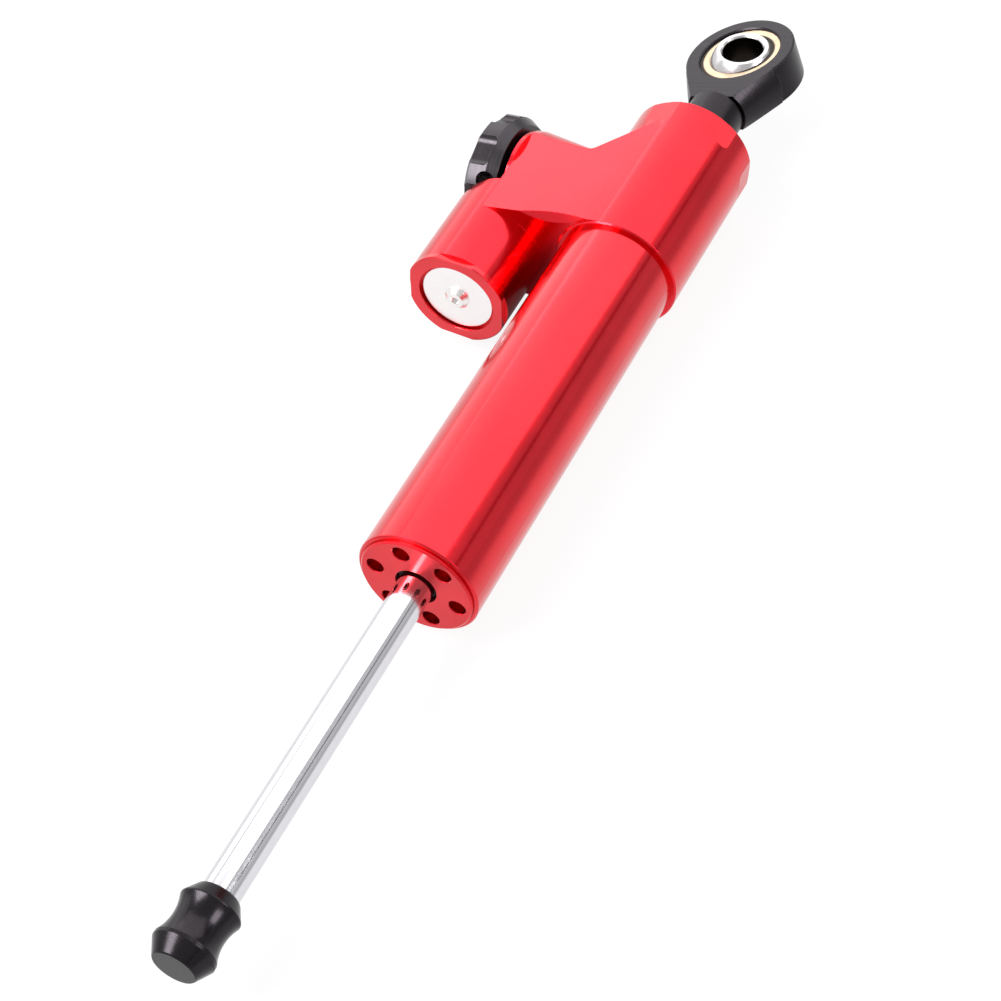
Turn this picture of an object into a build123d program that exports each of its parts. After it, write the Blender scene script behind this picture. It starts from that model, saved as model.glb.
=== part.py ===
from build123d import *
import os
from math import sqrt

# The damper's axis is X, from the centre of the rod end's ball at the origin to the rod's tip.
# The reservoir lies beside the tube at -Y, and the adjuster's axis points along -Y.
# Z is square to the plane of both axes. Lengths are in millimetres and angles in degrees.

# Clearances
fit_gap = 0.05
run_gap = 0.05
over = 1.0

# Ball, race and rod end
ball_radius = 9.0
ball_bore_radius = 5.0
ball_width = 12.6
ball_bore_chamfer = 0.55
race_radius = 10.2
race_width = 9.0
eye_radius = 13.9
eye_width = 10.08
eye_edge = 0.35
eye_clocking = 10.6
cone_offset = 6.95
cone_inset = 0.1
cone_root_radius = 7.58
neck_offset = 18.0
neck_radius = 6.95
neck_length = 15.26
neck_edge = 0.4
shank_radius = 5.0
shank_length = 12.0

# Head of the body
head_radius = 15.26
head_length = 45.56
head_edge = 0.4
step_edge = 0.3
pocket_count = 6
pocket_phase = 48.0
pocket_length = 7.2
pocket_depth = 0.46
pocket_corner = 1.75
chamber_length = 9.0

# Arm between the head and the reservoir
reservoir_offset = 32.56
knob_setback = 23.04
arm_setback = 0.62
flank_inset = 0.03
scallop_offset = 15.5
scallop_height = 28.8
scallop_radius = 17.0
scallop_root_radius = 10.2
scallop_length = 3.0
nose_radius = 14.07
nose_taper_start = 31.0
nose_waist_radius = 11.9
nose_waist_offset = 18.5
shelf_reach = 5.6
shelf_mid_reach = 4.3
shelf_mid_offset = 26.0
valley_reach = 2.2
valley_offset = 15.4
valley_round = 2.5
flare_reach = 13.9
flare_offset = 4.8
boss_face_offset = 34.2
boss_radius = 13.85
boss_edge = 0.3
recess_offset = 32.9
recess_radius = 17.3

# Tube
tube_radius = 14.0
tube_wall = 2.0
tube_seat_depth = 16.8
tube_seat_step = 0.3
tube_edge = 0.35
tube_lip = 0.9
tube_ring_offset = 4.0

# Gland at the tube's end
gland_length = 12.8
gland_stand = 0.84
gland_edge = 0.35
gland_bore_radius = 4.85
spanner_hole_count = 6
spanner_hole_radius = 2.0
spanner_hole_ring_radius = 9.7
spanner_hole_phase = 159.0
spanner_hole_depth = 5.0
spanner_hole_chamfer = 0.15
wiper_radius = 5.9
wiper_length = 3.0
wiper_lip = 0.6
wiper_offset = 2.0
guide_length = 12.0
bush_radius = 5.0
bush_length = 8.0
seal_radius = 7.0
seal_length = 3.0
guide_ring_offset = 5.0

# Rod, piston and what the rod carries
rod_radius = 4.0
spigot_radius = 3.0
stroke = 75.0
bottom_gap = 4.93
top_out_gap = 0.4
bumper_radius = 6.5
bumper_length = 4.6
shim_radii = (9.0, 7.5, 6.0)
shim_thickness = 0.4
piston_length = 8.0
piston_clearance = 0.25
piston_port_count = 6
piston_port_radius = 1.3
piston_port_ring_radius = 6.6
piston_ring_width = 4.0
piston_ring_depth = 1.0
nut_flat_radius = 5.0
nut_length = 5.0
spigot_end_length = 1.0
spigot_chamfer = 0.5

# Cap nut on the rod's tip
cap_gap = 6.84
cap_back = 4.5
cap_length = 16.8
cap_mouth_radius = 4.8
cap_crest_radius = 6.55
cap_crest_offset = 3.1
cap_crest_length = 0.3
cap_waist_radius = 5.66
cap_waist_offset = 7.8
cap_foot_radius = 6.75
cap_foot_offset = 12.4
cap_foot_length = 0.8
cap_face_radius = 4.9
cap_edge = 0.25

# Reservoir
barrel_radius = 12.73
barrel_length = 16.98
barrel_wall = 1.68
floor_thickness = 2.4
end_cap_length = 1.4
end_cap_flat_depth = 0.9
end_cap_flat_count = 4
end_cap_flat_phase = 80.0
end_cap_spigot = 4.3
end_cap_edge = 0.2
end_cap_wall = 1.4
cover_gap = 0.56
cover_thickness = 1.23
cover_recess_depth = 2.0
cover_edge = 0.15
cover_screw_radius = 1.5
cover_screw_length = 4.0
cover_screw_head_radius = 3.0
cover_screw_head_height = 1.3
cover_screw_socket = 1.0
cover_screw_socket_depth = 0.9
floating_length = 3.6
floating_start_gap = 0.3

# O-ring cords, given by the radius of their section
large_cord = 0.6
small_cord = 0.5
spindle_cord = 0.4

# Adjuster valve, measured along -Y from the tube's axis
valve_bore_radius = 6.05
valve_bore_offset = 19.5
port_radius = 1.5
transfer_radius = 1.2
transfer_offset = 24.0
seat_length = 3.0
seat_orifice_radius = 1.2
cartridge_length = 8.3
cartridge_recess = 0.4
cartridge_ring_offset = 2.8
cartridge_pocket_radius = 3.5
cartridge_pocket_length = 4.6
spindle_radius = 2.5
spindle_flange_radius = 3.4
spindle_flange_length = 1.2
spindle_lift = 0.1
spindle_end_gap = 0.5
spindle_ring_offset = 2.3
spindle_flat_depth = 0.3
spindle_flat_length = 5.0
stem_radius = 1.2
stem_length = 2.3
needle_radius = 3.4
needle_length = 3.0
needle_gap = 0.8
needle_bore_depth = 2.0
needle_tip_radius = 0.6
needle_cone_radius = 1.6
needle_cone_length = 3.0
key_width = 1.0
key_height = 1.0
key_length = 1.8
key_inset = 0.6

# Adjuster knob and its detent
knob_gap = 0.9
knob_radius = 16.7
knob_back_radius = 15.0
knob_back_chamfer = 2.4
knob_length = 7.9
knob_front_radius = 15.5
knob_front_chamfer = 1.0
knob_dish_radius = 11.0
knob_dish_depth = 0.7
knob_web = 1.6
lobe_count = 8
lobe_phase = 69.5
lobe_cut_width = 8.6
lobe_cut_distance = 15.0
lobe_cut_start = 2.2
lobe_cut_round = 2.2
grub_angle = 43.8
grub_offset = 2.5
grub_radius = 2.0
grub_length = 6.0
grub_socket = 1.0
grub_socket_depth = 2.0
detent_radius = 1.2
detent_ring_radius = 10.5
detent_angle = 224.0
detent_lift = 0.4
detent_pocket_depth = 4.0
detent_groove_width = 3.0
detent_groove_depth = 1.0
detent_dimple_radius = 0.9
detent_dimple_depth = 0.3
detent_count = 16
spring_wire_radius = 0.15
spring_radius = 0.95
spring_turns = 5

# Stations along X, with the rod fully out
head_start = neck_offset + neck_length
head_end = head_start + head_length
tube_start = head_end - tube_seat_depth
chamber_start = tube_start - chamber_length
rod_start = chamber_start + bottom_gap + stroke
nut_start = rod_start + spigot_end_length
nut_end = nut_start + nut_length
shim_height = shim_thickness * len(shim_radii)
piston_start = nut_end + shim_height
piston_end = piston_start + piston_length
shoulder = piston_end + shim_height
bumper_start = shoulder + run_gap
bumper_end = bumper_start + bumper_length
guide_start = bumper_end + top_out_gap
gland_start = guide_start + guide_length
gland_end = gland_start + gland_length
tube_end = gland_end - gland_stand
cap_start = tube_end + stroke + cap_gap
rod_end = cap_start + cap_length - cap_back
knob_x = head_start + knob_setback
arm_end = head_end - arm_setback
chamber_floor = knob_x + recess_radius + floor_thickness
barrel_end = head_end + barrel_length
end_cap_end = barrel_end + end_cap_length

# Radii of the tube's seat in the head and of what it holds
tube_seat_radius = tube_radius - tube_seat_step
gland_radius = tube_radius - tube_lip
bore_radius = tube_radius - tube_wall
piston_radius = bore_radius - piston_clearance

# Radii of the reservoir's bore, its plug and the cover in the plug
barrel_bore_radius = barrel_radius - barrel_wall
plug_radius = barrel_bore_radius - fit_gap
cover_recess_radius = plug_radius - end_cap_wall
cover_radius = cover_recess_radius - cover_gap

# Stations along the adjuster's axis
cartridge_end = boss_face_offset - cartridge_recess
cartridge_start = cartridge_end - cartridge_length
pocket_end = cartridge_start + cartridge_pocket_length
flange_end = pocket_end - spindle_lift
flange_start = flange_end - spindle_flange_length
needle_end = flange_start - needle_gap
needle_start = needle_end - needle_length
knob_back = boss_face_offset + knob_gap
knob_front = knob_back + knob_length
spindle_end = knob_front - knob_dish_depth - knob_web - spindle_end_gap
detent_centre = boss_face_offset + detent_lift
adjuster = Location((knob_x, 0, 0), (0, 0, -90))
reservoir = Location((0, -reservoir_offset, 0))


def bar(start, end, radius):
    """A solid cylinder on the X axis."""
    stub = Cylinder(radius, end - start, align=(Align.CENTER, Align.CENTER, Align.MIN))
    return Location((start, 0, 0), (0, 90, 0)) * stub


def tube(start, end, outer, inner):
    """A hollow cylinder on the X axis."""
    return bar(start, end, outer) - bar(start - over, end + over, inner)


def turned(points):
    """A solid turned about the X axis from an outline of station and radius pairs."""
    return revolve(make_face(Polyline(*points, close=True)), Axis.X)


def cord_ring(station, radius, cord):
    """An O-ring round the X axis, with its cord's centre at the given radius."""
    return Location((station, 0, 0), (0, 90, 0)) * Torus(radius, cord)


def groove(station, outer, floor, cord):
    """The cut for an O-ring in a turned surface."""
    half = cord + fit_gap
    return tube(station - half, station + half, outer, floor)


def hex_socket(start, end, flat_radius):
    """The cut for a hexagon key on the X axis."""
    hexagon = RegularPolygon(flat_radius, 6, major_radius=False)
    return Location((start, 0, 0), (0, 90, 0)) * extrude(hexagon, end - start)


def spread(piece, count, phase):
    """Copies of a piece, spaced evenly about the X axis."""
    return [Rotation(phase + 360 / count * k, 0, 0) * piece for k in range(count)]


def block(low, high):
    """A box between two corners."""
    size = [b - a for a, b in zip(low, high)]
    centre = [(a + b) / 2 for a, b in zip(low, high)]
    return Location(centre) * Box(*size)


def rod_end_cone():
    """The cone turned down from the ring to the neck, with the ring's two faces milled across it."""
    side = sqrt(eye_radius ** 2 - cone_offset ** 2)
    start_radius = sqrt(side ** 2 + (eye_width / 2) ** 2) - cone_inset
    cone = turned([(0, 0), (0, race_radius), (cone_offset, start_radius), (neck_offset, cone_root_radius),
                   (neck_offset, 0)])
    return cone & Box(2 * (neck_offset + over), 2 * eye_radius, eye_width)


def rod_end_housing():
    """The ring, its cone, the turned neck and the threaded shank."""
    rim = Cylinder(eye_radius, eye_width)
    eye = chamfer(rim.edges().filter_by(GeomType.CIRCLE), eye_edge) + rod_end_cone()
    seat = Cylinder(race_radius + fit_gap, eye_width + over)
    mouth = extrude(Circle(race_radius + fit_gap + eye_edge), eye_edge, taper=45)
    neck_end = neck_offset + neck_length
    neck = turned([(neck_offset, 0), (neck_offset, neck_radius - neck_edge),
                   (neck_offset + neck_edge, neck_radius), (neck_end, neck_radius), (neck_end, 0)])
    shank = bar(neck_end - over, neck_end + shank_length, shank_radius)
    mouths = [Location((0, 0, eye_width / 2), (180, 0, 0)) * mouth, Location((0, 0, -eye_width / 2)) * mouth]
    return Rotation(eye_clocking, 0, 0) * (eye + neck + shank - seat - mouths)


def ball_race():
    """The bronze ring with its spherical seat."""
    ring = Cylinder(race_radius, race_width) - Sphere(ball_radius + run_gap)
    return Rotation(eye_clocking, 0, 0) * ring


def ball():
    """The pierced ball, with its bore square to both axes of the body."""
    band = Sphere(ball_radius) & Box(*[2 * ball_radius] * 2, ball_width)
    bored = band - Cylinder(ball_bore_radius, ball_width + over)
    rims = bored.edges().filter_by(GeomType.CIRCLE)
    face_radius = sqrt(ball_radius ** 2 - (ball_width / 2) ** 2)
    return chamfer([e for e in rims if e.radius < (ball_bore_radius + face_radius) / 2], ball_bore_chamfer)


def arm_section():
    """The flat-sided web between the head and the reservoir, tangent just inside both round bodies."""
    lean = (head_radius - barrel_radius) / reservoir_offset
    rise = sqrt(1 - lean ** 2)
    inner = head_radius - flank_inset
    outer = barrel_radius - flank_inset
    near = (-inner * lean, inner * rise)
    far = (-reservoir_offset - outer * lean, outer * rise)
    return make_face(Polyline(near, far, (far[0], -far[1]), (near[0], -near[1]), close=True))


def shelf():
    """The upright wall at the arm's end, as seen along Z, with its valley beside the head."""
    far = -(reservoir_offset + barrel_radius + over)
    end = barrel_end + over
    points = [(end, 0), (knob_x - flare_reach, 0), (knob_x - flare_reach, -flare_offset),
              (knob_x - valley_reach, -valley_offset), (knob_x - shelf_mid_reach, -shelf_mid_offset),
              (knob_x - shelf_reach, -recess_offset), (knob_x - shelf_reach, far), (end, far)]
    plan = make_face(Polyline(*points, close=True))
    corner = plan.vertices().sort_by_distance((knob_x - valley_reach, -valley_offset, 0))[0]
    return extrude(fillet(corner, valley_round), head_radius + over, both=True)


def nose():
    """The round end of the arm about the adjuster's axis, waisted towards the head."""
    return adjuster * turned([(0, 0), (0, nose_waist_radius), (nose_waist_offset, nose_waist_radius),
                              (nose_taper_start, nose_radius), (boss_face_offset, nose_radius),
                              (boss_face_offset, 0)])


def web_scallops():
    """The shallow scallops milled over the web's end, one at each edge."""
    slope = (scallop_radius - scallop_root_radius) / scallop_length
    scallop = turned([(arm_end - scallop_length, 0), (arm_end - scallop_length, scallop_root_radius),
                      (arm_end + over, scallop_radius + slope * over), (arm_end + over, 0)])
    return [Location((0, -scallop_offset, side * scallop_height)) * scallop for side in (1, -1)]


def arm():
    """The web and the barrel, shaped at the adjuster's end and cut back for the knob."""
    start = knob_x - nose_radius - over
    web = Location((start, 0, 0)) * extrude(Plane.YZ * arm_section(), arm_end - start) - web_scallops()
    barrel = reservoir * bar(start, barrel_end, barrel_radius)
    far = reservoir_offset + barrel_radius + over
    recess = adjuster * bar(recess_offset, far, recess_radius)
    return ((web + barrel) & (nose() + shelf())) - recess


def boss():
    """The round boss that the knob turns on."""
    root = recess_offset - over
    return adjuster * turned([(root, 0), (root, nose_waist_radius), (recess_offset, nose_waist_radius),
                              (recess_offset, boss_radius), (boss_face_offset - boss_edge, boss_radius),
                              (boss_face_offset, boss_radius - boss_edge), (boss_face_offset, 0)])


def head_pockets():
    """The flats milled into the head's end, with rounded inner corners."""
    floor = head_radius - pocket_depth
    half = sqrt(head_radius ** 2 - floor ** 2)
    cut = block((head_start - over, floor, -half), (head_start + pocket_length, head_radius + over, half))
    cut = fillet(cut.edges().filter_by(Axis.Y).group_by(Axis.X)[-1], pocket_corner)
    return spread(cut, pocket_count, pocket_phase)


def head_passages():
    """Everything bored into the head: the shank's hole, the chamber, the seats and the oil ways."""
    shank = bar(head_start - over, head_start + shank_length + over, shank_radius + fit_gap)
    chamber = bar(chamber_start, tube_start + over, bore_radius)
    seat = bar(tube_start, head_end + over, tube_seat_radius + fit_gap)
    port = adjuster * bar(bore_radius - over, valve_bore_offset + over, port_radius)
    valve = adjuster * bar(valve_bore_offset, boss_face_offset + over, valve_bore_radius)
    transfer = Location((0, -transfer_offset, 0)) * bar(knob_x + stem_radius, chamber_floor + over, transfer_radius)
    store = reservoir * bar(chamber_floor, barrel_end + over, barrel_bore_radius)
    pocket = Rotation(detent_angle, 0, 0) * Location((0, detent_ring_radius, 0))
    detent = adjuster * pocket * bar(boss_face_offset - detent_pocket_depth, boss_face_offset + over,
                                     detent_radius + fit_gap)
    return [shank, chamber, seat, port, valve, transfer, store, detent]


def head_block():
    """The machined head, arm and reservoir barrel in one piece."""
    head = turned([(head_start, 0), (head_start, head_radius - head_edge), (head_start + head_edge, head_radius),
                   (head_end - step_edge, head_radius), (head_end, head_radius - step_edge), (head_end, 0)])
    return head + arm() + boss() - head_pockets() - head_passages()


def main_tube():
    """The damper's tube, turned down where it sits in the head, with the gland's seat at its open end."""
    body = turned([(tube_start, bore_radius), (tube_start, tube_seat_radius), (head_end, tube_seat_radius),
                   (head_end, tube_radius), (tube_end - tube_edge, tube_radius), (tube_end, tube_radius - tube_edge),
                   (tube_end, gland_radius), (gland_start, gland_radius), (gland_start, bore_radius)])
    return body - groove(tube_start + tube_ring_offset, tube_radius, tube_seat_radius - 2 * small_cord, small_cord)


def gland_cap():
    """The threaded cap that closes the tube, with pin-spanner holes round the rod."""
    rim = gland_radius - fit_gap
    body = turned([(gland_start, 0), (gland_start, rim), (gland_end - gland_edge, rim),
                   (gland_end, rim - gland_edge), (gland_end, 0)])
    way = bar(gland_start - over, gland_end, rod_radius + 2 * fit_gap)
    seat_end = gland_end - wiper_offset
    mouth = bar(seat_end, gland_end + over, gland_bore_radius)
    seat = bar(seat_end - wiper_length, seat_end, wiper_radius + fit_gap)
    wide = spanner_hole_radius + spanner_hole_chamfer
    deep = gland_end - spanner_hole_depth
    hole = turned([(deep, 0), (deep, spanner_hole_radius), (gland_end - spanner_hole_chamfer, spanner_hole_radius),
                   (gland_end, wide), (gland_end + over, wide), (gland_end + over, 0)])
    holes = spread(Location((0, spanner_hole_ring_radius, 0)) * hole, spanner_hole_count, spanner_hole_phase)
    return body - way - mouth - seat - holes


def wiper_seal():
    """The rubber wiper that clears the rod, with its lip towards the open end."""
    end = gland_end - wiper_offset
    start = end - wiper_length
    inner = rod_radius + run_gap
    lip = inner + wiper_lip
    return turned([(start, lip), (start, wiper_radius), (end, wiper_radius), (end, gland_bore_radius - fit_gap),
                   (end + wiper_lip, lip), (end + wiper_lip, inner), (end, inner)])


def rod_guide():
    """The guide behind the gland, with seats for the bush and the rod seal."""
    rim = bore_radius - fit_gap
    body = tube(guide_start, gland_start, rim, rod_radius + 2 * fit_gap)
    bush_seat = bar(guide_start - over, guide_start + bush_length, bush_radius + fit_gap)
    seal_seat = bar(gland_start - seal_length, gland_start + over, seal_radius + fit_gap)
    cut = groove(guide_start + guide_ring_offset, rim + over, rim - 2 * large_cord, large_cord)
    return body - bush_seat - seal_seat - cut


def guide_bush():
    """The plain bearing that the rod slides in."""
    return tube(guide_start, guide_start + bush_length, bush_radius, rod_radius + run_gap)


def rod_seal():
    """The pressure seal round the rod."""
    return tube(gland_start - seal_length, gland_start, seal_radius, rod_radius + run_gap)


def damper_rod():
    """The ground rod, stepped down where it carries the piston."""
    return turned([(rod_start, 0), (rod_start, spigot_radius - spigot_chamfer),
                   (rod_start + spigot_chamfer, spigot_radius), (shoulder, spigot_radius), (shoulder, rod_radius),
                   (rod_end - spigot_chamfer, rod_radius), (rod_end, rod_radius - spigot_chamfer), (rod_end, 0)])


def top_out_bumper():
    """The rubber sleeve that meets the guide when the rod is fully out."""
    edge = bumper_length / 4
    inner = rod_radius + fit_gap
    return turned([(bumper_start, inner), (bumper_start, bumper_radius), (bumper_end - edge, bumper_radius),
                   (bumper_end, bumper_radius - edge), (bumper_end, inner)])


def shim_stack(start, way):
    """Spring shims on the rod's spigot, largest against the piston, stacked along +X or -X."""
    discs = []
    for k, radius in enumerate(shim_radii):
        near = start + way * k * shim_thickness
        far = near + way * shim_thickness
        discs.append(tube(min(near, far), max(near, far), radius, spigot_radius + fit_gap))
    return discs[0].fuse(*discs[1:])


def piston():
    """The piston, with its oil ports and the groove for its ring."""
    body = tube(piston_start, piston_end, piston_radius, spigot_radius + fit_gap)
    middle = (piston_start + piston_end) / 2
    cut = tube(middle - piston_ring_width / 2 - fit_gap, middle + piston_ring_width / 2 + fit_gap,
               piston_radius + over, piston_radius - piston_ring_depth)
    port = Location((0, piston_port_ring_radius, 0)) * bar(piston_start - over, piston_end + over, piston_port_radius)
    return body - cut - spread(port, piston_port_count, 0)


def piston_ring():
    """The slippery band round the piston."""
    middle = (piston_start + piston_end) / 2
    floor = piston_radius - piston_ring_depth + fit_gap
    return tube(middle - piston_ring_width / 2, middle + piston_ring_width / 2, bore_radius - run_gap, floor)


def piston_nut():
    """The nut that clamps the piston and its shims."""
    return hex_socket(nut_start, nut_end, nut_flat_radius) - bar(nut_start - over, nut_end + over,
                                                                  spigot_radius + fit_gap)


def rod_end_cap():
    """The waisted cap nut that closes the rod's tip."""
    mouth = cap_start
    face = cap_start + cap_length
    crest = mouth + cap_crest_offset
    crest_end = crest + cap_crest_length
    foot = mouth + cap_foot_offset
    foot_end = foot + cap_foot_length
    bore = rod_radius + fit_gap
    bore_end = rod_end + fit_gap
    outline = [
        Polyline((bore_end, 0), (bore_end, bore), (mouth, bore), (mouth, cap_mouth_radius - cap_edge),
                 (mouth + cap_edge, cap_mouth_radius), (crest, cap_crest_radius), (crest_end, cap_crest_radius)),
        ThreePointArc((crest_end, cap_crest_radius), (mouth + cap_waist_offset, cap_waist_radius),
                      (foot, cap_foot_radius)),
        Polyline((foot, cap_foot_radius), (foot_end, cap_foot_radius), (face - cap_edge, cap_face_radius),
                 (face, cap_face_radius - cap_edge), (face, 0), (bore_end, 0)),
    ]
    return revolve(make_face([edge for run in outline for edge in run.edges()]), Axis.X)


def reservoir_end_cap():
    """The reservoir's plug, with four wrench flats on its flange and a recess for the cover."""
    plug_start = barrel_end - end_cap_spigot
    body = turned([(plug_start, 0), (plug_start, plug_radius), (barrel_end, plug_radius),
                   (barrel_end, barrel_radius), (end_cap_end - end_cap_edge, barrel_radius),
                   (end_cap_end, barrel_radius - end_cap_edge), (end_cap_end, 0)])
    recess = bar(end_cap_end - cover_recess_depth, end_cap_end + over, cover_recess_radius)
    floor = end_cap_end - cover_recess_depth
    screw = bar(floor - cover_screw_length, floor + over, cover_screw_radius + fit_gap)
    flat = block((barrel_end, barrel_radius - end_cap_flat_depth, -barrel_radius),
                 (end_cap_end + over, barrel_radius + over, barrel_radius))
    ring = groove((plug_start + barrel_end) / 2, plug_radius + over, plug_radius - 2 * large_cord, large_cord)
    return reservoir * (body - recess - screw - spread(flat, end_cap_flat_count, end_cap_flat_phase) - ring)


def reservoir_cover():
    """The bright disc over the reservoir's plug."""
    start = end_cap_end - cover_recess_depth
    end = start + cover_thickness
    disc = turned([(start, 0), (start, cover_radius), (end - cover_edge, cover_radius),
                   (end, cover_radius - cover_edge), (end, 0)])
    return reservoir * (disc - bar(start - over, end + over, cover_screw_radius + fit_gap))


def reservoir_cover_screw():
    """The button-head screw that holds the cover."""
    seat = end_cap_end - cover_recess_depth + cover_thickness
    crown = seat + cover_screw_head_height
    shank = bar(seat - cover_thickness - cover_screw_length + fit_gap, seat + fit_gap, cover_screw_radius)
    head = turned([(seat, 0), (seat, cover_screw_head_radius),
                   (seat + cover_screw_head_height / 3, cover_screw_head_radius),
                   (seat + cover_screw_head_height * 2 / 3, cover_screw_head_radius * 5 / 6),
                   (crown, cover_screw_head_radius * 2 / 3), (crown, 0)])
    socket = hex_socket(crown - cover_screw_socket_depth, crown + over, cover_screw_socket)
    return reservoir * (shank + head - socket)


def floating_piston():
    """The piston that parts the oil from the gas in the reservoir."""
    start = chamber_floor + floating_start_gap
    rim = barrel_bore_radius - 2 * run_gap
    body = bar(start, start + floating_length, rim)
    dish = bar(start + floating_length / 2, start + floating_length + over, rim / 2)
    cut = groove(start + floating_length / 2, rim + over, rim - 2 * large_cord, large_cord)
    return reservoir * (body - dish - cut)


def floating_piston_seal():
    """The O-ring round the floating piston."""
    rim = barrel_bore_radius - 2 * run_gap
    station = chamber_floor + floating_start_gap + floating_length / 2
    return reservoir * cord_ring(station, rim - large_cord, large_cord)


def needle_seat():
    """The jet that the needle opens and closes."""
    start = valve_bore_offset
    return adjuster * tube(start, start + seat_length, valve_bore_radius - fit_gap, seat_orifice_radius)


def adjuster_cartridge():
    """The sleeve that carries the spindle and keys the needle."""
    rim = valve_bore_radius - fit_gap
    body = bar(cartridge_start, cartridge_end, rim)
    pocket = bar(cartridge_start - over, pocket_end, cartridge_pocket_radius)
    way = bar(cartridge_start, cartridge_end + over, spindle_radius + run_gap)
    half = key_width / 2 + run_gap
    slot = block((cartridge_start - over, 0, -half), (flange_start, needle_radius + key_height + 2 * run_gap, half))
    ring = groove(cartridge_end - cartridge_ring_offset, rim + over, rim - 2 * small_cord, small_cord)
    return adjuster * (body - pocket - way - slot - ring)


def adjuster_spindle():
    """The knob's spindle, with a flange inside the cartridge and a threaded stem in the needle."""
    stem = bar(flange_start - stem_length, flange_start + over, stem_radius)
    flange = bar(flange_start, flange_end, spindle_flange_radius)
    shaft = bar(flange_start, spindle_end, spindle_radius)
    ring = groove(cartridge_end - spindle_ring_offset, spindle_radius + over,
                  spindle_radius - 2 * spindle_cord, spindle_cord)
    middle = knob_back + grub_offset
    flat = block((middle - spindle_flat_length / 2, spindle_radius - spindle_flat_depth, -spindle_radius),
                 (middle + spindle_flat_length / 2, spindle_radius + over, spindle_radius))
    return adjuster * (stem + flange + shaft - ring - Rotation(grub_angle, 0, 0) * flat)


def needle():
    """The tapered needle, keyed in the cartridge so that the turning stem feeds it."""
    cone_start = needle_start - needle_cone_length
    body = turned([(cone_start, 0), (cone_start, needle_tip_radius), (needle_start, needle_cone_radius),
                   (needle_start, needle_radius), (needle_end, needle_radius), (needle_end, 0)])
    thread = bar(needle_end - needle_bore_depth, needle_end + over, stem_radius + run_gap)
    key_start = needle_start + key_inset
    key = block((key_start, needle_radius - key_height, -key_width / 2),
                (key_start + key_length, needle_radius + key_height, key_width / 2))
    return adjuster * (body + key - thread)


def knob_body():
    """The knob's turned form, with its back and front edges and the dished front."""
    return turned([(knob_back, 0), (knob_back, knob_back_radius), (knob_back + knob_back_chamfer, knob_radius),
                   (knob_front - knob_front_chamfer, knob_radius), (knob_front, knob_front_radius),
                   (knob_front, knob_dish_radius + knob_dish_depth),
                   (knob_front - knob_dish_depth, knob_dish_radius), (knob_front - knob_dish_depth, 0)])


def knob_scallops():
    """The finger flats round the knob, open at the front and rounded at the back."""
    half = lobe_cut_width / 2
    cut = block((knob_back + lobe_cut_start, lobe_cut_distance, -half), (knob_front + over, knob_radius + over, half))
    sides = cut.edges().filter_by(Axis.X).group_by(Axis.Y)[0]
    corners = cut.edges().filter_by(Axis.Y).group_by(Axis.X)[0]
    return spread(fillet(sides + corners, lobe_cut_round), lobe_count, lobe_phase)


def detent_track():
    """The ring groove in the knob's back and the dimples that the ball clicks into."""
    half = detent_groove_width / 2
    floor = knob_back + detent_groove_depth
    track = tube(knob_back - over, floor, detent_ring_radius + half, detent_ring_radius - half)
    dimple = Location((0, detent_ring_radius, 0)) * bar(knob_back, floor + detent_dimple_depth, detent_dimple_radius)
    return [track] + spread(dimple, detent_count, detent_angle)


def adjuster_knob():
    """The black damping knob."""
    bore = bar(knob_back - over, spindle_end + spindle_end_gap, spindle_radius + fit_gap)
    hole = Location((knob_back + grub_offset, 0, 0), (0, 0, 90)) * bar(0, knob_radius + over, grub_radius)
    cuts = [bore, Rotation(grub_angle, 0, 0) * hole] + knob_scallops() + detent_track()
    return adjuster * (knob_body() - cuts)


def knob_grub_screw():
    """The screw that grips the spindle's flat."""
    start = spindle_radius - spindle_flat_depth + fit_gap
    screw = bar(start, start + grub_length, grub_radius - fit_gap)
    socket = hex_socket(start + grub_length - grub_socket_depth, start + grub_length + over, grub_socket)
    stand = Location((knob_back + grub_offset, 0, 0), (0, 0, 90))
    return adjuster * Rotation(grub_angle, 0, 0) * stand * (screw - socket)


def detent_seat():
    """The place of the detent's axis on the boss."""
    return adjuster * Rotation(detent_angle, 0, 0) * Location((0, detent_ring_radius, 0))


def detent_ball():
    """The steel ball that clicks in the knob's dimples."""
    centre = detent_seat() * Location((detent_centre, 0, 0))
    return Location(centre.position) * Sphere(detent_radius)


def detent_spring():
    """The coil spring under the detent ball."""
    start = boss_face_offset - detent_pocket_depth + spring_wire_radius + fit_gap
    seat_depth = sqrt(detent_radius ** 2 - spring_radius ** 2)
    height = detent_centre - seat_depth - 2 * spring_wire_radius - start
    path = Helix(height / spring_turns, height, spring_radius)
    section = Plane(path @ 0, z_dir=path % 0) * Circle(spring_wire_radius)
    return detent_seat() * Location((start, 0, 0), (0, 90, 0)) * sweep(section, path)


def small_rings():
    """The O-rings that stay with the body."""
    tube_ring = cord_ring(tube_start + tube_ring_offset, tube_seat_radius - small_cord, small_cord)
    guide_ring = cord_ring(guide_start + guide_ring_offset, bore_radius - fit_gap - large_cord, large_cord)
    plug_ring = cord_ring(barrel_end - end_cap_spigot / 2, plug_radius - large_cord, large_cord)
    valve_ring = cord_ring(cartridge_end - cartridge_ring_offset, valve_bore_radius - fit_gap - small_cord, small_cord)
    return tube_ring, guide_ring, reservoir * plug_ring, adjuster * valve_ring


def spindle_o_ring():
    """The O-ring that turns with the spindle."""
    return adjuster * cord_ring(cartridge_end - spindle_ring_offset, spindle_radius - spindle_cord, spindle_cord)


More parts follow.
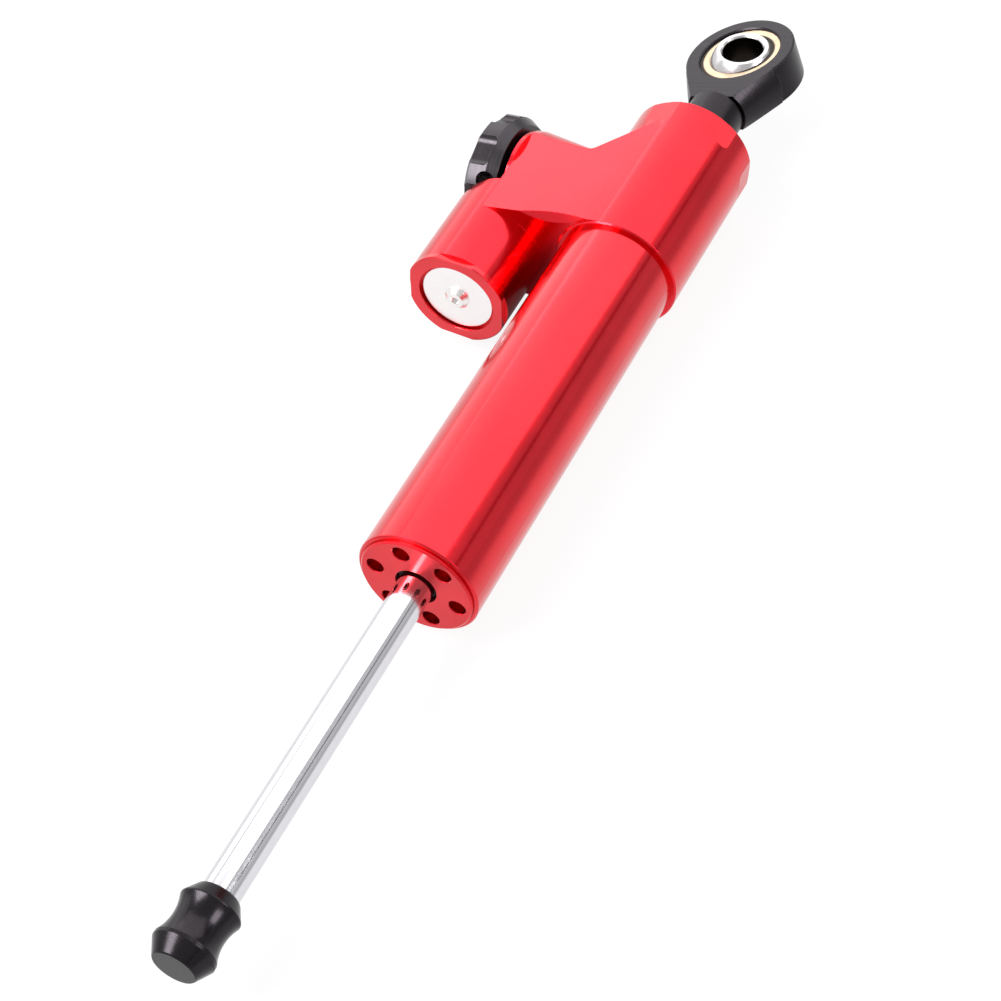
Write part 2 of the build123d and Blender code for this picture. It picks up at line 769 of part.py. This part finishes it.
def all_nodes():
    """Every piece by its name."""
    tube_ring, guide_ring, plug_ring, valve_ring = small_rings()
    return {
        "head_block": head_block(), "main_tube": main_tube(), "tube_o_ring": tube_ring,
        "gland_cap": gland_cap(), "wiper_seal": wiper_seal(), "rod_guide": rod_guide(),
        "guide_bush": guide_bush(), "rod_seal": rod_seal(), "guide_o_ring": guide_ring,
        "reservoir_end_cap": reservoir_end_cap(), "reservoir_o_ring": plug_ring,
        "reservoir_cover": reservoir_cover(), "reservoir_cover_screw": reservoir_cover_screw(),
        "adjuster_cartridge": adjuster_cartridge(), "cartridge_o_ring": valve_ring,
        "needle_seat": needle_seat(), "detent_ball": detent_ball(), "detent_spring": detent_spring(),
        "rod_end_housing": rod_end_housing(), "ball_race": ball_race(), "ball": ball(),
        "damper_rod": damper_rod(), "top_out_bumper": top_out_bumper(), "piston": piston(),
        "piston_ring": piston_ring(), "front_shims": shim_stack(piston_end, 1),
        "rear_shims": shim_stack(piston_start, -1), "piston_nut": piston_nut(), "rod_end_cap": rod_end_cap(),
        "adjuster_knob": adjuster_knob(), "knob_grub_screw": knob_grub_screw(),
        "adjuster_spindle": adjuster_spindle(), "spindle_o_ring": spindle_o_ring(), "needle": needle(),
        "floating_piston": floating_piston(), "floating_piston_seal": floating_piston_seal(),
    }


os.makedirs("parts", exist_ok=True)
for name, piece in all_nodes().items():
    export_step(piece, f"parts/{name}.step")
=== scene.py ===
from math import pi

import bpy
from mathutils import Matrix, Vector


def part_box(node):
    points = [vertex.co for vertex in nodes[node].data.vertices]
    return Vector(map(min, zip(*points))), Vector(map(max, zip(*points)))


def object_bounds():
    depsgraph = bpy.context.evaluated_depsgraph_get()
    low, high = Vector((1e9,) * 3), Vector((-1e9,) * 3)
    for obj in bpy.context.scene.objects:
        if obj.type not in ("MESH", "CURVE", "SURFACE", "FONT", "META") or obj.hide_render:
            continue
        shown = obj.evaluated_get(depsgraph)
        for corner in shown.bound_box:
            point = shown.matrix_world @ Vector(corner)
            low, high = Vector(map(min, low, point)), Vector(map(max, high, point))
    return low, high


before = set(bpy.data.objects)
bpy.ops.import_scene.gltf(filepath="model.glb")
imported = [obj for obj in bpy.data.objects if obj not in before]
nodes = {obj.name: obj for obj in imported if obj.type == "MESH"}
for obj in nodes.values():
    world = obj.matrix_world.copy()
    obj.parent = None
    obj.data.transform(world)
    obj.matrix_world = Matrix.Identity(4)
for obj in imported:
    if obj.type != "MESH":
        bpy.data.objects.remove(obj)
cad_low, cad_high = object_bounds()

# A motorcycle steering damper: its finishes, and the camera, lamps, room and floor that show it.
# Lengths are in metres and angles in radians. The damper's axis is X, the reservoir is at -Y, and Z is up.

# Camera, at the photograph's angle
photo_width = 1001
focal_pixels = 2404.29
sensor_width = 36.0
camera_place = Vector((0.43965, 0.21818, 0.36709))
camera_right = Vector((-0.43870, 0.88322, -0.16574))
camera_up = Vector((-0.70122, -0.22111, 0.67779))
camera_back = Vector((0.56199, 0.41357, 0.71633))
clip_start = 0.01
clip_end = 50.0

# Lamps: the place, the size, and how bright each is to look at
lamps = {
    "top_light": (Vector((-0.78, 0.02, 0.85)), (1.9, 1.3), 1.1),
    "side_light": (Vector((-0.5, -1.25, 0.55)), (1.6, 0.9), 0.8),
    "right_light": (Vector((0.12, 1.1, 0.6)), (0.6, 0.5), 6.0),
    "key_light": (Vector((0.65, -0.57, 0.98)), (0.7, 0.7), 8.5),
}
watts_per_level = 4.0

# The room: an even fill for dull surfaces, and for metal a brightness by shares of a turn about X, which goes
# from the reservoir's side at 0 by the floor at a quarter, the right at a half and the ceiling back to 1
dome_fill = 0.5
right_share = 0.5
band_start_share = 0.553
band_end_share = 0.562
band_soft_share = 0.005
ceiling_share = 0.75
left_start_share = 0.83
room_left_below = 0.8
room_right = 0.6
room_dark_band = 0.05
room_ceiling = 0.65
room_left_above = 0.85

# The floor: its tone, the share of it that glows, and how bright it is to metal, which is painted light: near
# the object, far out on the right past a fade along Y, and painted shade under the gap between the tube and
# the reservoir
floor_size = 8.0
floor_tone = 0.9
floor_glow = 0.9
floor_mirror_near = 0.93
floor_mirror_far = 0.4
floor_fade_start = 0.05
floor_fade_end = 0.1
floor_gap_shade_level = 0.12
floor_gap_edge = 0.006

# Painted shade on the ball and its race, as distances from their axis
bore_shade_start = 0.00503
bore_shade_end = 0.00525
race_inner_edge = 0.00785
race_outer_edge = 0.0102
race_line_width = 0.00035

# Textures: scales in features per metre, marks' stretch, where a smaller value is a longer mark, and layers
cloud_scale = 60.0
stain_scale = 350.0
red_grain_scale = 9000.0
black_grain_scale = 7000.0
moulded_scale = 4000.0
turned_scale = 9000.0
turned_stretch = 0.004
milled_scale = 7000.0
milled_stretch = 0.01
blasted_scale = 5000.0
faced_scale = 6000.0
cloud_detail = 3.0
mark_detail = 2.0
red_grain_detail = 1.0
black_grain_detail = 2.0
moulded_detail = 4.0
edge_samples = 4

# Stretches of a noise's values, each spread over the whole range of what it drives
middle = (0.3, 0.7)
narrow_middle = (0.35, 0.65)
upper = (0.35, 0.75)
high = (0.4, 0.7)

# Red anodising
red_cloud_share = 0.5
red_grain_share = 0.35
red_mark_gloss = 0.03
red_grain_gloss = 0.05
red_grain_relief = 0.3
red_depth = 0.000001
red_edge = 0.00012
coat_roughness = 0.08
coat_index = 1.5

# Black anodising
black_grain_share = 0.6
black_mark_gloss = 0.06
black_grain_gloss = 0.06
black_grain_relief = 0.5
black_depth = 0.000003
black_edge = 0.00015

# Bare metal. A quarter turn points the drawn-out gloss along X instead of round it.
stain_share = 0.7
stain_gloss = 0.04
mark_gloss_share = 0.2
bare_edge = 0.00008
quarter_turn = 0.25

# Rubber and plastic
moulded_smooth = 0.05
moulded_rough = 0.1
moulded_depth = 0.000004
moulded_edge = 0.00012

# Colours, linear: in a pair, the clean one and the deep, worn or stained one
white = (1.0, 1.0, 1.0, 1.0)
# The colour of painted shade, in the ball's bore and at the race's edges against the ball and the eye
painted_shade_colour = (0.02, 0.015, 0.012)
red = ((0.9, 0.014, 0.028), (0.62, 0.008, 0.018))
black = ((0.024, 0.021, 0.024), (0.055, 0.05, 0.055))
# A paler copy of the black for the knob, which is painted light: it makes the knob's lands and scallops
# brighter
knob_lit_black = ((0.046, 0.041, 0.046), (0.09, 0.083, 0.09))
chrome = ((0.76, 0.75, 0.79), (0.71, 0.7, 0.74))
ball_steel = ((0.66, 0.64, 0.65), (0.54, 0.52, 0.54))
bearing_steel = ((0.78, 0.76, 0.78), (0.62, 0.6, 0.63))
steel = ((0.95, 0.93, 0.92), (0.86, 0.84, 0.83))
aluminium = ((0.98, 0.95, 0.95), (0.94, 0.91, 0.91))
race_bronze = ((0.6, 0.47, 0.33), (0.5, 0.37, 0.24))
bronze = ((0.78, 0.55, 0.3), (0.6, 0.38, 0.18))
brass = ((0.78, 0.6, 0.26), (0.62, 0.44, 0.16))
rubber = ((0.012, 0.012, 0.013), (0.03, 0.03, 0.032))
plastic = ((0.1, 0.075, 0.05), (0.16, 0.12, 0.08))


def feed(tree, socket, value):
    """Gives an input its value, or links an output to it."""
    if isinstance(value, bpy.types.NodeSocket):
        tree.links.new(value, socket)
    else:
        socket.default_value = value


def make(tree, kind, values=(), **settings):
    """A node of a kind, with its settings, and its inputs by name or number, each a value or an output."""
    made = tree.nodes.new("ShaderNode" + kind)
    for name, value in settings.items():
        setattr(made, name, value)
    for key, value in dict(values).items():
        feed(tree, made.inputs[key], value)
    return made


def math_of(tree, operation, *terms):
    """The result of one math node."""
    return make(tree, "Math", dict(enumerate(terms)), operation=operation).outputs[0]


def remap(tree, value, source, target):
    """A value's range moved to another, clamped."""
    ranges = {"From Min": source[0], "From Max": source[1], "To Min": target[0], "To Max": target[1]}
    return make(tree, "MapRange", {"Value": value, **ranges}).outputs["Result"]


def tint(tree, share, first, second):
    """A blend of two colours."""
    mix = make(tree, "Mix", data_type="RGBA")
    inputs = {socket.name: socket for socket in mix.inputs if socket.enabled}
    feed(tree, inputs["Factor"], share)
    for name, colour in (("A", first), ("B", second)):
        feed(tree, inputs[name], (*colour, 1.0) if isinstance(colour, tuple) else colour)
    return next(socket for socket in mix.outputs if socket.enabled)


def grey(level):
    """An opaque grey of that level."""
    return (level, level, level, 1.0)


def mixed(tree, share, first, second):
    """A mix of two shaders."""
    return make(tree, "MixShader", {0: share, 1: first.outputs[0], 2: second.outputs[0]})


def show(tree, kind, shader):
    """Makes a shader the tree's result."""
    make(tree, kind, {"Surface": shader.outputs[0]})


def new_material(name):
    """An empty material and its tree."""
    made = bpy.data.materials.new(name)
    made.use_nodes = True
    made.node_tree.nodes.clear()
    return made, made.node_tree


def surfaced(made, values):
    """The material, with one shader that has those inputs."""
    tree = made.node_tree
    show(tree, "OutputMaterial", make(tree, "BsdfPrincipled", values))
    return made


def vector_of(tree, operation, result, *terms):
    """A result of one vector math node."""
    return make(tree, "VectorMath", dict(enumerate(terms)), operation=operation).outputs[result]


def own_place(tree):
    """The surface's own coordinates."""
    return make(tree, "TexCoord").outputs["Object"]


def distance_from_axis(tree, across):
    """The distance from an axis through the origin, with a one for each direction across it."""
    flat = vector_of(tree, "MULTIPLY", "Vector", own_place(tree), across)
    return vector_of(tree, "LENGTH", "Value", flat)


def noise(tree, scale, detail=cloud_detail, stretch=(1.0, 1.0, 1.0)):
    """Noise over the surface, drawn out along the axes whose stretch is small."""
    place = make(tree, "Mapping", {"Vector": own_place(tree), "Scale": stretch}).outputs["Vector"]
    return make(tree, "TexNoise", {"Vector": place, "Scale": scale, "Detail": detail}).outputs["Fac"]


def turned_x(tree):
    """Marks round the X axis."""
    return noise(tree, turned_scale, mark_detail, (1.0, turned_stretch, turned_stretch))


def turned_y(tree):
    """Marks round the adjuster's axis."""
    return noise(tree, turned_scale, mark_detail, (turned_stretch, 1.0, turned_stretch))


def milled(tree):
    """Marks along the length of a milled or drawn surface."""
    return noise(tree, milled_scale, mark_detail, (milled_stretch, 1.0, 1.0))


def blasted(tree):
    """An even fine grain."""
    return noise(tree, blasted_scale)


def faced(tree):
    """Rings on a surface that is faced square to the X axis."""
    line = make(tree, "CombineXYZ", {"X": distance_from_axis(tree, (0.0, 1.0, 1.0))}).outputs[0]
    values = {"Vector": line, "Scale": faced_scale, "Detail": mark_detail}
    return make(tree, "TexNoise", values).outputs["Fac"]


def relief(tree, height, depth, edge):
    """A bump of that depth, over slightly rounded edges where an edge radius is given."""
    values = {"Height": height, "Distance": depth}
    if edge:
        values["Normal"] = make(tree, "Bevel", {"Radius": edge}, samples=edge_samples).outputs["Normal"]
    return make(tree, "Bump", values).outputs["Normal"]


def round_x(tree):
    """The direction round the X axis."""
    return make(tree, "Tangent", direction_type="RADIAL", axis="X").outputs[0]


def no_shade(tree):
    """No painted shade."""
    return 0.0


def ball_shade(tree):
    """How dark the ball is painted: painted shade in its bore."""
    reach = distance_from_axis(tree, (1.0, 1.0, 0.0))
    return remap(tree, reach, (bore_shade_start, bore_shade_end), (1.0, 0.0))


def race_shade(tree):
    """Painted shade on the race: dark lines at its inner edge against the ball and at its seat in the eye."""
    reach = distance_from_axis(tree, (1.0, 1.0, 0.0))
    inner = remap(tree, reach, (race_inner_edge, race_inner_edge + race_line_width), (1.0, 0.0))
    outer = remap(tree, reach, (race_outer_edge - race_line_width, race_outer_edge), (0.0, 1.0))
    return math_of(tree, "MAXIMUM", inner, outer)


def red_anodised(name, marks, roughness, coat=0.5, drawn_round=0.0):
    """Dyed aluminium: a red metal under a clear hard skin, with fine tool marks and a sparse grain."""
    made, tree = new_material(name)
    line = marks(tree)
    cloud = noise(tree, cloud_scale)
    grain = noise(tree, red_grain_scale, red_grain_detail)
    cloudy = remap(tree, cloud, middle, (0.0, red_cloud_share))
    grainy = remap(tree, grain, narrow_middle, (0.0, red_grain_share))
    marked_gloss = remap(tree, line, middle, (roughness - red_mark_gloss, roughness + red_mark_gloss))
    grain_gloss = remap(tree, grain, middle, (0.0, red_grain_gloss))
    height = math_of(tree, "ADD", line, math_of(tree, "MULTIPLY", grain, red_grain_relief))
    return surfaced(made, {
        "Base Color": tint(tree, math_of(tree, "ADD", cloudy, grainy), *red),
        "Metallic": 1.0,
        "Roughness": math_of(tree, "ADD", marked_gloss, grain_gloss),
        "Anisotropic": drawn_round,
        "Tangent": round_x(tree),
        "Coat Weight": coat,
        "Coat Roughness": coat_roughness,
        "Coat IOR": coat_index,
        "Normal": relief(tree, height, red_depth, red_edge),
    })


def black_anodised(name, tones, marks, roughness):
    """Black aluminium, satin, with a paler grain and fine tool marks."""
    made, tree = new_material(name)
    line = marks(tree)
    grain = noise(tree, black_grain_scale, black_grain_detail)
    marked_gloss = remap(tree, line, middle, (roughness - black_mark_gloss, roughness + black_mark_gloss))
    grain_gloss = remap(tree, grain, middle, (0.0, black_grain_gloss))
    height = math_of(tree, "ADD", line, math_of(tree, "MULTIPLY", grain, black_grain_relief))
    return surfaced(made, {
        "Base Color": tint(tree, remap(tree, grain, upper, (0.0, black_grain_share)), *tones),
        "Metallic": 1.0,
        "Roughness": math_of(tree, "ADD", marked_gloss, grain_gloss),
        "Normal": relief(tree, height, black_depth, black_edge),
    })


def bare_metal(name, tones, marks, roughness, depth, shade=no_shade, drawn_along=0.0, edge=bare_edge):
    """Uncoated metal with tool marks, faint staining, painted shade in dark places, and gloss drawn out along
    X.
    """
    made, tree = new_material(name)
    line = marks(tree)
    stain = noise(tree, stain_scale)
    clean = tint(tree, remap(tree, stain, upper, (0.0, stain_share)), *tones)
    swing = roughness * mark_gloss_share
    marked_gloss = remap(tree, line, middle, (roughness - swing, roughness + swing))
    stained_gloss = remap(tree, stain, high, (0.0, stain_gloss))
    return surfaced(made, {
        # The shade blends in painted shade, where a shade function is given
        "Base Color": tint(tree, shade(tree), clean, painted_shade_colour),
        "Metallic": 1.0,
        "Roughness": math_of(tree, "ADD", marked_gloss, stained_gloss),
        "Anisotropic": drawn_along,
        "Anisotropic Rotation": quarter_turn,
        "Tangent": round_x(tree),
        "Normal": relief(tree, line, depth, edge),
    })


def moulded(name, tones, roughness):
    """Rubber or plastic with a fine moulded texture."""
    made, tree = new_material(name)
    grain = noise(tree, moulded_scale, moulded_detail)
    return surfaced(made, {
        "Base Color": tint(tree, remap(tree, grain, middle, (0.0, 1.0)), *tones),
        "Roughness": remap(tree, grain, middle, (roughness - moulded_smooth, roughness + moulded_rough)),
        "Normal": relief(tree, grain, moulded_depth, moulded_edge),
    })


def dress(material, *names):
    """Puts a material on CAD nodes."""
    for name in names:
        nodes[name].data.materials.clear()
        nodes[name].data.materials.append(material)


def dress_anodised():
    """The red and the black aluminium."""
    dress(red_anodised("red_head", milled, roughness=0.2, coat=0.35), "head_block")
    dress(red_anodised("red_tube", turned_x, roughness=0.2), "main_tube")
    dress(red_anodised("red_faced", faced, roughness=0.3, drawn_round=0.7), "gland_cap")
    dress(red_anodised("red_plug", blasted, roughness=0.26, coat=0.8), "reservoir_end_cap")
    dress(black_anodised("black_rod_end", black, turned_x, roughness=0.27), "rod_end_housing")
    dress(black_anodised("black_knob", knob_lit_black, turned_y, roughness=0.26), "adjuster_knob")
    dress(black_anodised("black_cap_nut", black, blasted, roughness=0.19), "rod_end_cap")


def dress_bare_metal():
    """The chrome, the steels, the bright aluminium, the bronzes and the brass."""
    dress(bare_metal("chrome", chrome, turned_x, roughness=0.1, depth=3e-7, drawn_along=0.45, edge=0.0),
          "damper_rod")
    dress(bare_metal("ball_steel", ball_steel, blasted, roughness=0.24, depth=8e-7, shade=ball_shade),
          "ball")
    dress(bare_metal("bearing_steel", bearing_steel, blasted, roughness=0.14, depth=8e-7), "detent_ball")
    dress(bare_metal("steel", steel, turned_x, roughness=0.25, depth=2e-6),
          "reservoir_cover_screw", "knob_grub_screw", "adjuster_spindle", "front_shims", "rear_shims",
          "piston_nut", "detent_spring")
    dress(bare_metal("bright_aluminium", aluminium, blasted, roughness=0.3, depth=1e-6),
          "reservoir_cover", "rod_guide", "piston", "floating_piston")
    dress(bare_metal("race_bronze", race_bronze, blasted, roughness=0.32, depth=2e-6, shade=race_shade),
          "ball_race")
    dress(bare_metal("bronze", bronze, turned_x, roughness=0.3, depth=2e-6), "guide_bush")
    dress(bare_metal("brass", brass, turned_y, roughness=0.28, depth=2e-6),
          "adjuster_cartridge", "needle_seat", "needle")


def dress_moulded():
    """The seals, the bumper and the piston's ring."""
    dress(moulded("rubber", rubber, roughness=0.6),
          "tube_o_ring", "wiper_seal", "rod_seal", "guide_o_ring", "reservoir_o_ring", "cartridge_o_ring",
          "top_out_bumper", "spindle_o_ring", "floating_piston_seal")
    dress(moulded("bearing_plastic", plastic, roughness=0.45), "piston_ring")


def make_camera():
    """The camera, as the photograph was taken."""
    data = bpy.data.cameras.new("camera")
    data.sensor_width = sensor_width
    data.lens = sensor_width * focal_pixels / photo_width
    data.clip_start = clip_start
    data.clip_end = clip_end
    camera = bpy.data.objects.new("camera", data)
    turn = Matrix((camera_right, camera_up, camera_back)).transposed()
    camera.matrix_world = Matrix.Translation(camera_place) @ turn.to_4x4()
    bpy.context.scene.collection.objects.link(camera)
    bpy.context.scene.camera = camera


def softbox(name, place, size, level):
    """A rectangular lamp that faces the object, as bright to look at as its level says."""
    data = bpy.data.lights.new(name, "AREA")
    data.shape = "RECTANGLE"
    data.size, data.size_y = size
    data.energy = watts_per_level * level * size[0] * size[1]
    lamp = bpy.data.objects.new(name, data)
    lamp.location = place
    lamp.rotation_euler = place.to_track_quat("Z", "Y").to_euler()
    bpy.context.scene.collection.objects.link(lamp)


def room_shade(tree):
    """The room's brightness round the X axis: dim, with a dark band beside the top lamp."""
    direction = make(tree, "SeparateXYZ", {0: make(tree, "TexCoord").outputs["Generated"]})
    angle = math_of(tree, "ARCTAN2", direction.outputs["Z"], direction.outputs["Y"])
    ramp = make(tree, "ValToRGB", {0: remap(tree, angle, (-pi, pi), (0.0, 1.0))})
    elements = ramp.color_ramp.elements
    elements[0].color = grey(room_left_below)
    elements[-1].color = grey(room_left_above)
    between = (
        (right_share, room_right),
        (band_start_share - band_soft_share, room_right),
        (band_start_share, room_dark_band),
        (band_end_share, room_dark_band),
        (band_end_share + band_soft_share, room_right),
        (ceiling_share, room_ceiling),
        (left_start_share, room_left_above),
    )
    for share, level in between:
        elements.new(share).color = grey(level)
    return ramp.outputs["Color"]


def make_world():
    """A pale studio: white to the camera, and a dim room to metal."""
    world = bpy.data.worlds.new("studio")
    bpy.context.scene.world = world
    world.use_nodes = True
    tree = world.node_tree
    tree.nodes.clear()
    seen = make(tree, "LightPath")
    room = make(tree, "Background", {"Color": room_shade(tree), "Strength": 1.0})
    fill = make(tree, "Background", {"Color": white, "Strength": dome_fill})
    backdrop = make(tree, "Background", {"Color": white, "Strength": 1.0})
    lit = mixed(tree, seen.outputs["Is Glossy Ray"], fill, room)
    show(tree, "OutputWorld", mixed(tree, seen.outputs["Is Camera Ray"], lit, backdrop))


def gap_shade(tree, place):
    """Painted shade in the floor's brightness to metal: low under the gap between tube and reservoir."""
    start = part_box("head_block")[0].x
    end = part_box("reservoir_end_cap")[1].x
    cover_low, cover_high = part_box("reservoir_cover")
    reservoir_axis = (cover_low.y + cover_high.y) / 2
    tube_axis = 0.0
    inside = 1.0
    for socket, first, last in ((place["X"], start, end), (place["Y"], reservoir_axis, tube_axis)):
        rise = remap(tree, socket, (first - floor_gap_edge, first), (0.0, 1.0))
        fall = remap(tree, socket, (last, last + floor_gap_edge), (1.0, 0.0))
        inside = math_of(tree, "MULTIPLY", inside, math_of(tree, "MULTIPLY", rise, fall))
    return remap(tree, inside, (0.0, 1.0), (1.0, floor_gap_shade_level))


def floor_material():
    """Pale paper that keeps a soft shadow, shows white, and mirrors in metal with painted levels of light and
    shade.
    """
    made, tree = new_material("floor")
    paper = make(tree, "BsdfDiffuse", {"Color": grey(floor_tone)})
    glow = make(tree, "Emission", {"Color": white, "Strength": 1.0})
    place = make(tree, "SeparateXYZ", {0: own_place(tree)}).outputs
    # Painted light: the floor is brighter to metal near the object and dimmer far out on the right
    fade = remap(tree, place["Y"], (floor_fade_start, floor_fade_end), (floor_mirror_near, floor_mirror_far))
    sheen_level = math_of(tree, "MULTIPLY", fade, gap_shade(tree, place))
    sheen = make(tree, "Emission", {"Color": white, "Strength": sheen_level})
    seen = make(tree, "LightPath")
    plain = mixed(tree, seen.outputs["Is Camera Ray"], paper, mixed(tree, floor_glow, paper, glow))
    mirrored = mixed(tree, floor_glow, paper, sheen)
    show(tree, "OutputMaterial", mixed(tree, seen.outputs["Is Glossy Ray"], plain, mirrored))
    return made


def make_floor():
    """A plain square floor at the height on which the object lies."""
    half = floor_size / 2
    mesh = bpy.data.meshes.new("floor")
    corners = [(x, y, cad_low.z) for x, y in ((-half, -half), (half, -half), (half, half), (-half, half))]
    mesh.from_pydata(corners, [], [(0, 1, 2, 3)])
    mesh.materials.append(floor_material())
    floor = bpy.data.objects.new("floor", mesh)
    bpy.context.scene.collection.objects.link(floor)


bpy.context.scene.view_settings.view_transform = "Standard"
make_camera()
make_world()
make_floor()
for name, (place, size, level) in lamps.items():
    softbox(name, place, size, level)
dress_anodised()
dress_bare_metal()
dress_moulded()
